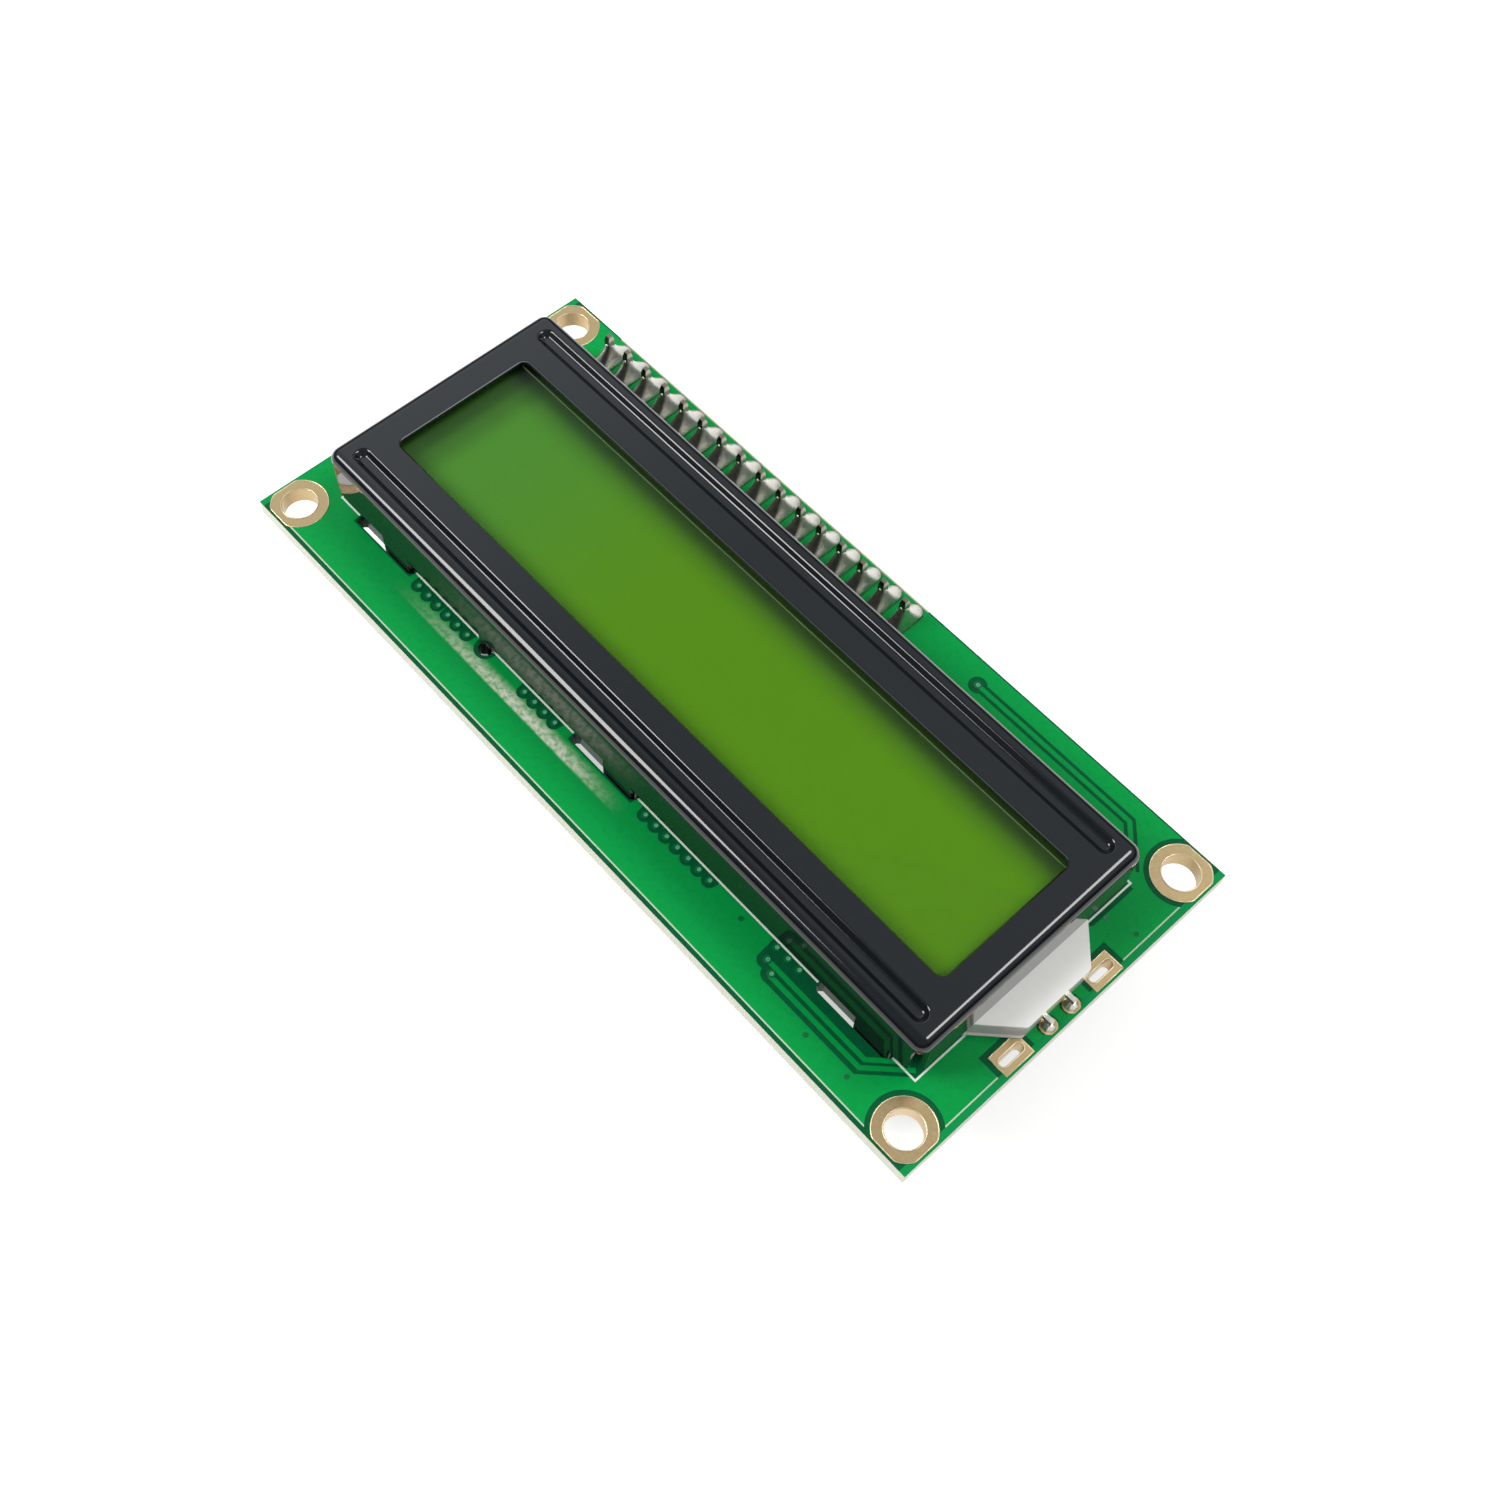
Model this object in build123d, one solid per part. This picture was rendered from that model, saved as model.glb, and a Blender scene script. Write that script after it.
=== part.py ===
"""Character LCD module, in millimetres.

The origin is the centre of the four mounting holes, on the front face of the
board. +X runs along the board toward the lamp end, +Y toward the pin row and
+Z out of the display.
"""
import os
from math import cos, pi, radians, sin, sqrt, tan

from build123d import *

os.makedirs("parts", exist_ok=True)

# Circuit board
BOARD_LENGTH = 80.0
BOARD_DEPTH = 36.0
BOARD_THICKNESS = 1.6
PLATING = 0.05            # copper and gold on the lands and in the holes
LAND_INSET = 0.2          # lands stop this far from the board's edges
SMALL_HOLE_SIDES = 8      # the small holes are drawn with flat sides

# Mounting holes
MOUNT_INSET = 2.5         # from the board's edges
MOUNT_HOLE_RADIUS = 1.6
MOUNT_LAND_RADIUS = 2.55

# Slotted lands at the lamp end
EDGE_LAND_LENGTH = 2.0
EDGE_LAND_DEPTH = 3.05
EDGE_LAND_SPACING = 10.05
EDGE_LAND_CENTRE_Y = -0.5
EDGE_RING = 0.275         # metal past each end of the slot
EDGE_SLOT_WIDTH = 0.8

# Header
PIN_COUNT = 16
PIN_PITCH = 2.54
PIN_WIDTH = 0.64
PIN_FIRST_INSET = 8.0     # from the board's end to the first pin
PIN_ROW_INSET = 2.5       # from the board's back edge
PIN_TOP = 3.4
PIN_TAIL = 6.0            # free length behind the plastic strip
PIN_POINT = 0.5           # length of the tapered ends
PIN_TIP_WIDTH = 0.4
PIN_HOLE_RADIUS = 0.5
STRIP_HEIGHT = 2.54
STRIP_DEPTH = 2.5
STRIP_NOTCH = 0.45
PIN_LAND_WIDTH = 2.0
PIN_LAND_LENGTH = 3.9
PIN_LAND_CORNER = 0.55
PIN_LAND_SOLDER = 0.14
JOINT_PROFILE = ((0.95, PIN_LAND_SOLDER), (0.8, 0.45), (0.65, 1.2), (0.5, 2.4))   # radius, height
JOINT_STRETCH = 0.9       # added to the foot's radius along the land
JOINT_SIDES = 10

# Bezel
BEZEL_LENGTH = 71.1
BEZEL_DEPTH = 24.1
BEZEL_CENTRE_Y = -0.75
BEZEL_TOP = 7.1
BEZEL_SHEET = 0.4
BEZEL_EDGE_RADIUS = 1.0
CORNER_ALLOWANCE = 0.1    # the upright corners are this much rounder than the edges
SKIRT_BOTTOM = 2.0
CORNER_OPENING = 0.9
CORNER_CROWN = 1.3        # closed height above each open corner
WINDOW_LEFT = 3.35        # from the bezel's left end to the window
WINDOW_RIGHT = 3.15
WINDOW_SIDE = 5.1
WINDOW_RADIUS = 0.7
WINDOW_BEVEL = 0.12

# Stiffening grooves pressed into the bezel
GROOVE_INSET = 2.07       # from the skirt to the groove's middle
GROOVE_LEFT = 1.75        # from the bezel's left end to the groove
GROOVE_RIGHT = 1.55
GROOVE_DEPTH = 0.45
GROOVE_FLAT = 0.2         # half the width of the flat bottom
GROOVE_RADIUS = 0.3
GROOVE_SLOPE = 45.0
GROOVE_BACK_FLAT = 0.45   # the same half width on the pressed-through side

# Bezel tabs, three along each long side, and their slots in the board
TAB_POSITIONS = (-29.0, 0.0, 29.0)
TAB_WIDTH = 3.4
TAB_SHIFT = 2.0           # from the middle of the slot
TAB_NECK = 1.3            # where the twist is
TAB_NECK_HEIGHT = 0.15
TAB_TWIST = 35.0
TAB_REACH = 1.3           # below the board
TAB_SLOT_LENGTH = 7.7
TAB_SLOT_OUTER_GAP = 0.1  # outside the tab
TAB_SLOT_INNER_GAP = 0.35
TAB_SLOT_CORNER = 0.25
LOCATING_TAB_X = -15.1
LOCATING_TAB_WIDTH = 1.0
LOCATING_HOLE_RADIUS = 0.7

# Liquid crystal cell, downward from the grooves
GLASS = 1.1
CELL_GAP = 0.05
SEAL_WIDTH = 1.2
CELL_END_CLEARANCE = 0.55     # glass to skirt
CELL_SIDE_CLEARANCE = 0.45
POLARIZER_INSET = 1.2         # from the ends of the glass
POLARIZER_CLEARANCE = 0.28    # to the pressed side of the grooves
FRONT_POLARIZER = 0.18
REAR_POLARIZER = 0.2
DIFFUSER = 0.15

# Rubber contact strips
STRIP_RUBBER_INSET = 3.1      # from the ends of the glass
STRIP_RUBBER_WIDTH = 2.0

# Backlight
FRAME_WALL_END = 0.8
FRAME_WALL_SIDE = 0.58
FILM = 0.15
TONGUE_DROP = 0.05            # below the skirt's lower edge
TONGUE_TIP_WIDTH = 7.0
TONGUE_ROOT_WIDTH = 16.1
TONGUE_CENTRE_Y = -0.25
TONGUE_CORNER = 0.5
BASE_FILM_LIP = 0.3

# Lamp in the end of the tongue
LAMP_LENGTH = 1.5
LAMP_WIDTH = 3.8
LAMP_HEIGHT = 1.2
LAMP_COVER = 0.15             # clear guide left above the lamp
LEAD_PITCH = 2.54
LEAD_ROW_INSET = 0.88         # from the board's end
LEAD_CENTRE_Y = -0.47
LEAD_WIDTH = 0.4
LEAD_DROP = 0.9               # from the top of the lamp to the underside of its leads
LEAD_TAIL = 0.6
LEAD_HOLE_RADIUS = 0.4
LAMP_LAND_RADIUS = 0.75
LAMP_LAND_SIDES = 12
LAMP_JOINT_RADIUS = 0.6
LAMP_JOINT_CROWN = 0.3
LAMP_JOINT_HEIGHT = 0.5
LAMP_JOINT_CLEARANCE = 0.06   # to the tip of the tongue

# Parts behind the board
BLOB_PLACES = ((-15.5, -1.0), (13.5, -1.0))
BLOB_PROFILE = ((6.6, 0.0), (6.2, 0.35), (5.2, 0.8), (3.4, 1.15), (1.2, 1.3))   # radius, height
BLOB_SIDES = 24
CHIP_LENGTH = 2.0
CHIP_WIDTH = 1.25
RESISTOR_HEIGHT = 0.5
CAPACITOR_HEIGHT = 0.8
CHIP_END = 0.35
CHIP_FILLET = 0.35
RESISTOR_PLACES = ((-4.0, 8.5), (-0.5, 8.5), (3.0, 8.5), (6.5, 8.5), (10.0, 8.5), (30.0, -2.0))
CAPACITOR_PLACES = ((-8.0, 8.5), (30.0, 3.0))

# Places and ranges that several pieces share
board_back = -BOARD_THICKNESS
board_through = (board_back - 1, 1)
barrel_range = (board_back - PLATING, PLATING)
mount_places = [
    (side_x * (BOARD_LENGTH / 2 - MOUNT_INSET), side_y * (BOARD_DEPTH / 2 - MOUNT_INSET))
    for side_x in (-1, 1)
    for side_y in (-1, 1)
]
pin_xs = [-BOARD_LENGTH / 2 + PIN_FIRST_INSET + i * PIN_PITCH for i in range(PIN_COUNT)]
pin_row_y = BOARD_DEPTH / 2 - PIN_ROW_INSET
edge_land_x = BOARD_LENGTH / 2 - LAND_INSET - EDGE_LAND_LENGTH / 2
edge_land_ys = [EDGE_LAND_CENTRE_Y + side * EDGE_LAND_SPACING / 2 for side in (-1, 1)]
edge_slot_length = EDGE_LAND_DEPTH - 2 * EDGE_RING
lead_row_x = BOARD_LENGTH / 2 - LEAD_ROW_INSET
lead_ys = [LEAD_CENTRE_Y + side * LEAD_PITCH / 2 for side in (-1, 1)]

corner_radius = BEZEL_EDGE_RADIUS + CORNER_ALLOWANCE
skirt_middle = BEZEL_DEPTH / 2 - BEZEL_SHEET / 2
tab_slot_width = TAB_SLOT_OUTER_GAP + BEZEL_SHEET + TAB_SLOT_INNER_GAP
slot_middle = BEZEL_DEPTH / 2 + TAB_SLOT_OUTER_GAP - tab_slot_width / 2
window_length = BEZEL_LENGTH - WINDOW_LEFT - WINDOW_RIGHT
window_depth = BEZEL_DEPTH - 2 * WINDOW_SIDE
window_x = (WINDOW_LEFT - WINDOW_RIGHT) / 2
groove_length = BEZEL_LENGTH - GROOVE_LEFT - GROOVE_RIGHT
groove_x = (GROOVE_LEFT - GROOVE_RIGHT) / 2
groove_offset = BEZEL_DEPTH / 2 - GROOVE_INSET
pressed_half_width = GROOVE_BACK_FLAT + GROOVE_DEPTH / tan(radians(GROOVE_SLOPE))

glass_top = BEZEL_TOP - BEZEL_SHEET - GROOVE_DEPTH
cell_top = glass_top - GLASS
cell_bottom = cell_top - CELL_GAP
rear_glass_bottom = cell_bottom - GLASS
polarizer_bottom = rear_glass_bottom - REAR_POLARIZER
guide_top = polarizer_bottom - DIFFUSER
cell_length = BEZEL_LENGTH - 2 * (BEZEL_SHEET + CELL_END_CLEARANCE)
front_glass_depth = BEZEL_DEPTH - 2 * (BEZEL_SHEET + CELL_SIDE_CLEARANCE)
front_polarizer_depth = 2 * (groove_offset - pressed_half_width - POLARIZER_CLEARANCE)
frame_depth = 2 * groove_offset - STRIP_RUBBER_WIDTH
inner_length = cell_length - 2 * FRAME_WALL_END
inner_depth = frame_depth - 2 * FRAME_WALL_SIDE

tongue_top = SKIRT_BOTTOM - TONGUE_DROP
tongue_tip_x = lead_row_x - LAMP_JOINT_RADIUS - LAMP_JOINT_CLEARANCE
lamp_top = tongue_top - FILM - LAMP_COVER
lead_bottom = lamp_top - LEAD_DROP


def block(x_range, y_range, z_range):
    """A box between two corners."""
    centre = [(low + high) / 2 for low, high in (x_range, y_range, z_range)]
    size = [high - low for low, high in (x_range, y_range, z_range)]
    return Pos(*centre) * Box(*size)


def centred_block(length, depth, z_range, x=0.0, y=BEZEL_CENTRE_Y):
    """A box centred on x and y."""
    return block((x - length / 2, x + length / 2), (y - depth / 2, y + depth / 2), z_range)


def cornered_block(length, depth, corner, z_range, x=0.0, y=0.0):
    """A box with its four upright edges cut off."""
    return chamfer(centred_block(length, depth, z_range, x, y).edges().filter_by(Axis.Z), corner)


def rod(radius, z_range, x=0.0, y=0.0):
    """An upright cylinder."""
    low, high = z_range
    return Pos(x, y, (low + high) / 2) * Cylinder(radius, high - low)


def flat_sided_rod(radius, z_range, x=0.0, y=0.0, sides=SMALL_HOLE_SIDES):
    """An upright prism around a circle of this radius."""
    low, high = z_range
    outline = Pos(x, y, low) * RegularPolygon(radius, sides, major_radius=False)
    return extrude(outline, high - low, dir=(0, 0, 1))


def flat_sided_mound(profile, sides, bottom=0.0, direction=1, stretch=0.0):
    """A mound of flat faces between polygons with the radii and heights of the profile."""
    foot = profile[0][0]
    crown = profile[-1][0]
    rings = []
    for radius, height in profile:
        reach = stretch * (radius - crown) / (foot - crown) if stretch else 0
        ring = []
        for i in range(sides):
            angle = 2 * pi * (i + 0.5) / sides
            side = 1 if angle < pi else -1
            x = radius * cos(angle)
            y = radius * sin(angle) + side * reach
            ring.append((x, y, bottom + direction * height))
        rings.append(ring)
    outlines = [rings[0], rings[-1]]
    for ring, next_ring in zip(rings, rings[1:]):
        for i in range(sides):
            outlines.append([ring[i - 1], ring[i], next_ring[i], next_ring[i - 1]])
    return Solid(Shell([Face(Wire.make_polygon(outline)) for outline in outlines]))


def upright_slot(length, width, z_range, x, y, turn=0.0):
    """An upright body with the outline of a slot."""
    low, high = z_range
    outline = Pos(x, y, low) * Rot(0, 0, turn) * SlotOverall(length, width)
    return extrude(outline, high - low, dir=(0, 0, 1))


def save(name, solids):
    """Write one node, a single piece or a group of separate ones."""
    solids = solids if isinstance(solids, list) else [solids]
    single = [solid for item in solids for solid in item.solids()]
    for solid in single:
        assert solid.is_valid, name
    shape = single[0] if len(single) == 1 else Compound(children=single)
    export_step(shape, f"parts/{name}.step")
    print(name, len(single), round(sum(solid.volume for solid in single), 2))


# Circuit board
board = centred_block(BOARD_LENGTH, BOARD_DEPTH, (board_back, 0), y=0)
for x, y in mount_places:
    board -= rod(MOUNT_HOLE_RADIUS + PLATING, board_through, x, y)
for x in pin_xs:
    board -= flat_sided_rod(PIN_HOLE_RADIUS, board_through, x, pin_row_y)
for y in edge_land_ys:
    board -= upright_slot(
        edge_slot_length + 2 * PLATING, EDGE_SLOT_WIDTH + 2 * PLATING, board_through, edge_land_x, y, turn=90
    )
for y in lead_ys:
    board -= flat_sided_rod(LEAD_HOLE_RADIUS + PLATING, board_through, lead_row_x, y)
for side in (-1, 1):
    slot_y = BEZEL_CENTRE_Y + side * slot_middle
    for x in TAB_POSITIONS:
        board -= cornered_block(TAB_SLOT_LENGTH, tab_slot_width, TAB_SLOT_CORNER, board_through, x, slot_y)
board -= flat_sided_rod(
    LOCATING_HOLE_RADIUS, board_through, LOCATING_TAB_X, BEZEL_CENTRE_Y - skirt_middle, sides=LAMP_LAND_SIDES
)
save("circuit_board", board)


# Plated lands: each one has a face on both sides of the board and a barrel between them
def plated_land(face_outline, barrel, bore):
    """Join two clipped faces with the barrel and open the bore."""
    clip = centred_block(BOARD_LENGTH - 2 * LAND_INSET, BOARD_DEPTH - 2 * LAND_INSET, barrel_range, y=0)
    faces = extrude(Pos(0, 0, board_back - PLATING) * face_outline, PLATING, dir=(0, 0, 1))
    faces += extrude(face_outline, PLATING, dir=(0, 0, 1))
    return (faces & clip) + barrel - bore


save("mounting_pads", [
    plated_land(
        Pos(x, y) * Circle(MOUNT_LAND_RADIUS),
        rod(MOUNT_HOLE_RADIUS + PLATING, barrel_range, x, y),
        rod(MOUNT_HOLE_RADIUS, board_through, x, y),
    )
    for x, y in mount_places
])
save("edge_pads", [
    plated_land(
        Pos(edge_land_x, y) * Rectangle(EDGE_LAND_LENGTH, EDGE_LAND_DEPTH),
        upright_slot(
            edge_slot_length + 2 * PLATING, EDGE_SLOT_WIDTH + 2 * PLATING, barrel_range, edge_land_x, y, 90
        ),
        upright_slot(edge_slot_length, EDGE_SLOT_WIDTH, board_through, edge_land_x, y, 90),
    )
    for y in edge_land_ys
])
save("lamp_lands", [
    plated_land(
        Pos(lead_row_x, y) * RegularPolygon(LAMP_LAND_RADIUS, LAMP_LAND_SIDES),
        flat_sided_rod(LEAD_HOLE_RADIUS + PLATING, barrel_range, lead_row_x, y),
        flat_sided_rod(LEAD_HOLE_RADIUS, board_through, lead_row_x, y),
    )
    for y in lead_ys
])


# Header: square pins pointed at both ends, the plastic strip and the solder cones
pin_bottom = board_back - STRIP_HEIGHT - PIN_TAIL
pin_corner = PIN_WIDTH / sqrt(2)
tip_corner = PIN_TIP_WIDTH / sqrt(2)
pin = flat_sided_mound(
    (
        (tip_corner, pin_bottom),
        (pin_corner, pin_bottom + PIN_POINT),
        (pin_corner, PIN_TOP - PIN_POINT),
        (tip_corner, PIN_TOP),
    ),
    sides=4,
)
save("header_pins", [Pos(x, pin_row_y) * pin for x in pin_xs])

strip_length = PIN_COUNT * PIN_PITCH
strip_middle = (pin_xs[0] + pin_xs[-1]) / 2
strip_bottom = board_back - STRIP_HEIGHT
strip = centred_block(strip_length, STRIP_DEPTH, (strip_bottom, board_back), strip_middle, pin_row_y)
notch = Rot(0, 0, 45) * Box(STRIP_NOTCH, STRIP_NOTCH, 2 * STRIP_HEIGHT)
for i in range(PIN_COUNT + 1):
    for side in (-1, 1):
        notch_x = pin_xs[0] + (i - 0.5) * PIN_PITCH
        strip -= Pos(notch_x, pin_row_y + side * STRIP_DEPTH / 2, strip_bottom) * notch
for x in pin_xs:
    strip -= centred_block(PIN_WIDTH, PIN_WIDTH, (strip_bottom - 1, board_back + 1), x, pin_row_y)
save("header_strip", strip)

joint = flat_sided_mound(JOINT_PROFILE, JOINT_SIDES, stretch=JOINT_STRETCH)
joint += cornered_block(PIN_LAND_WIDTH, PIN_LAND_LENGTH, PIN_LAND_CORNER, (0, PIN_LAND_SOLDER))
joint -= centred_block(PIN_WIDTH, PIN_WIDTH, (-1, PIN_TOP), y=0)
save("pin_joints", [Pos(x, pin_row_y) * joint for x in pin_xs])


# Bezel: a drawn sheet with open corners, grooves, a window and tabs bent down from the skirts
def shell_body(inset, z_range):
    """The bezel's outer body, or the space that lies inside it by the inset."""
    low, high = z_range
    outline = RectangleRounded(BEZEL_LENGTH - 2 * inset, BEZEL_DEPTH - 2 * inset, corner_radius - inset)
    body = extrude(Pos(0, BEZEL_CENTRE_Y, low) * outline, high - low, dir=(0, 0, 1))
    return fillet(body.edges().group_by(Axis.Z)[-1], BEZEL_EDGE_RADIUS - inset)


def groove_cutter(y):
    """The space inside one groove, with round ends, and its width."""
    slope = radians(GROOVE_SLOPE)
    bend_run = GROOVE_RADIUS * sin(slope)
    bend_drop = GROOVE_RADIUS * (1 - cos(slope))
    half_run = GROOVE_RADIUS * sin(slope / 2)
    half_drop = GROOVE_RADIUS * (1 - cos(slope / 2))
    straight_run = (GROOVE_DEPTH - 2 * bend_drop) / tan(slope)
    half_width = GROOVE_FLAT + 2 * bend_run + straight_run
    foot = GROOVE_FLAT + bend_run
    section = make_face(
        Polyline((half_width, 0), (half_width, 1), (0, 1), (0, -GROOVE_DEPTH), (GROOVE_FLAT, -GROOVE_DEPTH))
        + ThreePointArc(
            (GROOVE_FLAT, -GROOVE_DEPTH),
            (GROOVE_FLAT + half_run, -GROOVE_DEPTH + half_drop),
            (foot, -GROOVE_DEPTH + bend_drop),
        )
        + Line((foot, -GROOVE_DEPTH + bend_drop), (foot + straight_run, -bend_drop))
        + ThreePointArc(
            (foot + straight_run, -bend_drop),
            (half_width - half_run, -half_drop),
            (half_width, 0),
        )
    )
    straight = groove_length - 2 * half_width
    section_plane = Plane((0, 0, 0), x_dir=(0, 1, 0), z_dir=(1, 0, 0))
    half = extrude(section_plane * section, straight / 2, both=True)
    cutter = half + mirror(half, Plane.XZ)
    end = revolve(Plane.XZ * section, Axis.Z)
    for side in (-1, 1):
        cutter += Pos(side * straight / 2, 0, 0) * end
    return Pos(groove_x, y, BEZEL_TOP) * cutter, 2 * half_width


def twisted_tab(x, y, turn):
    """A tab that runs down through its slot, with a neck and a blade twisted behind the board."""
    neck_bottom = board_back - TAB_NECK_HEIGHT
    tab = centred_block(TAB_WIDTH, BEZEL_SHEET, (board_back, SKIRT_BOTTOM + 1), x, y)
    tab += centred_block(TAB_NECK, BEZEL_SHEET, (neck_bottom, board_back), x, y)
    blade = centred_block(TAB_WIDTH, BEZEL_SHEET, (board_back - TAB_REACH, neck_bottom), y=0)
    return tab + Pos(x, y) * Rot(0, 0, turn) * blade


bezel = shell_body(0, (SKIRT_BOTTOM, BEZEL_TOP))
bezel -= shell_body(BEZEL_SHEET, (SKIRT_BOTTOM - 1, BEZEL_TOP - BEZEL_SHEET))
for side_x in (-1, 1):
    for side_y in (-1, 1):
        bezel -= centred_block(
            2 * CORNER_OPENING,
            2 * CORNER_OPENING,
            (SKIRT_BOTTOM - 1, BEZEL_TOP - CORNER_CROWN),
            side_x * BEZEL_LENGTH / 2,
            BEZEL_CENTRE_Y + side_y * BEZEL_DEPTH / 2,
        )
window_outline = RectangleRounded(window_length, window_depth, WINDOW_RADIUS)
bezel -= extrude(Pos(window_x, BEZEL_CENTRE_Y, BEZEL_TOP) * window_outline, 1, both=True)
window_rim = bezel.edges().filter_by_position(Axis.Z, BEZEL_TOP, BEZEL_TOP).filter_by(
    lambda edge: abs(edge.center().X) < window_length / 2 + 1
    and abs(edge.center().Y - BEZEL_CENTRE_Y) < window_depth / 2 + 1
)
bezel = chamfer(window_rim, WINDOW_BEVEL)
for side in (-1, 1):
    groove_y = BEZEL_CENTRE_Y + side * groove_offset
    cutter, groove_width = groove_cutter(groove_y)
    pressed_side = extrude(
        Pos(groove_x, groove_y, BEZEL_TOP - BEZEL_SHEET)
        * SlotOverall(groove_length - groove_width + 2 * pressed_half_width, 2 * pressed_half_width),
        GROOVE_DEPTH,
        dir=(0, 0, -1),
        taper=90 - GROOVE_SLOPE,
    )
    bezel = bezel + pressed_side - cutter
for side in (-1, 1):
    tab_y = BEZEL_CENTRE_Y + side * skirt_middle
    for x in TAB_POSITIONS:
        bezel += twisted_tab(x - side * TAB_SHIFT, tab_y, TAB_TWIST)
bezel += centred_block(
    LOCATING_TAB_WIDTH,
    BEZEL_SHEET,
    (board_back, SKIRT_BOTTOM + 1),
    LOCATING_TAB_X,
    BEZEL_CENTRE_Y - skirt_middle,
)
save("bezel", bezel)


# Cell: two glass plates, the seal and filling between them and a film on each side
save("front_polarizer", centred_block(
    cell_length - 2 * POLARIZER_INSET, front_polarizer_depth, (glass_top, glass_top + FRONT_POLARIZER)
))
save("front_glass", centred_block(cell_length, front_glass_depth, (cell_top, glass_top)))
filling = centred_block(cell_length - 2 * SEAL_WIDTH, frame_depth - 2 * SEAL_WIDTH, (cell_bottom, cell_top))
save("cell_seal", centred_block(cell_length, frame_depth, (cell_bottom, cell_top)) - filling)
save("liquid_crystal", filling)
save("rear_glass", centred_block(cell_length, frame_depth, (rear_glass_bottom, cell_bottom)))
save("rear_polarizer", centred_block(inner_length, inner_depth, (polarizer_bottom, rear_glass_bottom)))
save("contact_strips", [
    centred_block(
        cell_length - 2 * STRIP_RUBBER_INSET,
        STRIP_RUBBER_WIDTH,
        (0, cell_top),
        y=BEZEL_CENTRE_Y + side * groove_offset,
    )
    for side in (-1, 1)
])


# Backlight: the clear guide with its tongue, the films, the white frame and the lamp
def tongue(lip, z_range):
    """The tapered tongue, wider on both sides by the lip."""
    low, high = z_range
    root_x = inner_length / 2
    corners = [
        (root_x, -TONGUE_ROOT_WIDTH / 2 - lip),
        (tongue_tip_x, -TONGUE_TIP_WIDTH / 2 - lip),
        (tongue_tip_x, TONGUE_TIP_WIDTH / 2 + lip),
        (root_x, TONGUE_ROOT_WIDTH / 2 + lip),
    ]
    outline = Pos(0, TONGUE_CENTRE_Y, low) * make_face(Polyline(*corners, close=True))
    body = extrude(outline, high - low, dir=(0, 0, 1))
    tip_edges = body.edges().filter_by(Axis.Z).group_by(Axis.X)[-1]
    corner = min(TONGUE_CORNER, (tongue_tip_x - root_x) / 2)
    return fillet(tip_edges, corner) & centred_block(BOARD_LENGTH, inner_depth, z_range)


lamp = centred_block(
    LAMP_LENGTH, LAMP_WIDTH, (lamp_top - LAMP_HEIGHT, lamp_top), tongue_tip_x - LAMP_LENGTH / 2, LEAD_CENTRE_Y
)
base_film_range = (PLATING, PLATING + FILM)
guide = centred_block(inner_length, inner_depth, (base_film_range[1], guide_top))
guide += tongue(0, (base_film_range[1], tongue_top - FILM))
save("light_guide", guide - lamp)
save("lamp", lamp)
save("tongue_film", tongue(0, (tongue_top - FILM, tongue_top)))
base_film = centred_block(inner_length, inner_depth, base_film_range)
save("base_film", base_film + tongue(BASE_FILM_LIP, base_film_range))
save("diffuser", centred_block(inner_length, inner_depth, (guide_top, polarizer_bottom)))
frame = centred_block(cell_length, frame_depth, (0, rear_glass_bottom))
frame -= centred_block(inner_length, inner_depth, (-1, rear_glass_bottom + 1))
frame -= block(
    (inner_length / 2 - 1, cell_length / 2 + 1),
    (BEZEL_CENTRE_Y - inner_depth / 2, BEZEL_CENTRE_Y + inner_depth / 2),
    (-1, tongue_top),
)
save("backlight_frame", frame)

leads = []
for y in lead_ys:
    flat = block(
        (tongue_tip_x, lead_row_x + LEAD_WIDTH / 2),
        (y - LEAD_WIDTH / 2, y + LEAD_WIDTH / 2),
        (lead_bottom, lead_bottom + LEAD_WIDTH),
    )
    drop = centred_block(
        LEAD_WIDTH, LEAD_WIDTH, (board_back - LEAD_TAIL, lead_bottom + LEAD_WIDTH), lead_row_x, y
    )
    leads.append(flat + drop)
save("lamp_leads", leads)
dome = flat_sided_mound(
    ((LAMP_JOINT_RADIUS, 0), (LAMP_JOINT_CROWN, LAMP_JOINT_HEIGHT)), SMALL_HOLE_SIDES, bottom=PLATING
)
save("lamp_joints", [Pos(lead_row_x, y) * dome - lead for lead, y in zip(leads, lead_ys)])


# Parts behind the board: resin drops over the driver chips, small resistors and capacitors
blob = flat_sided_mound(BLOB_PROFILE, BLOB_SIDES, bottom=board_back, direction=-1)
save("chip_blobs", [Pos(x, y) * blob for x, y in BLOB_PLACES])

resistors = []
capacitors = []
ends = []
for places, height, bodies in (
    (RESISTOR_PLACES, RESISTOR_HEIGHT, resistors),
    (CAPACITOR_PLACES, CAPACITOR_HEIGHT, capacitors),
):
    body_length = CHIP_LENGTH - 2 * CHIP_END
    for x, y in places:
        bodies.append(centred_block(body_length, CHIP_WIDTH, (board_back - height, board_back), x, y))
        for side in (-1, 1):
            inner = x + side * body_length / 2
            outer = x + side * CHIP_LENGTH / 2
            outline = make_face(Polyline(
                (inner, board_back),
                (outer + side * CHIP_FILLET, board_back),
                (outer, board_back - CHIP_FILLET),
                (outer, board_back - height),
                (inner, board_back - height),
                close=True,
            ))
            ends.append(extrude(Plane.XZ.offset(-y) * outline, CHIP_WIDTH / 2, both=True))
save("chip_resistors", resistors)
save("chip_capacitors", capacitors)
save("chip_ends", ends)
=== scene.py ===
"""Character LCD module: finishes, fine copper work and solder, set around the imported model."""
import math

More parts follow.
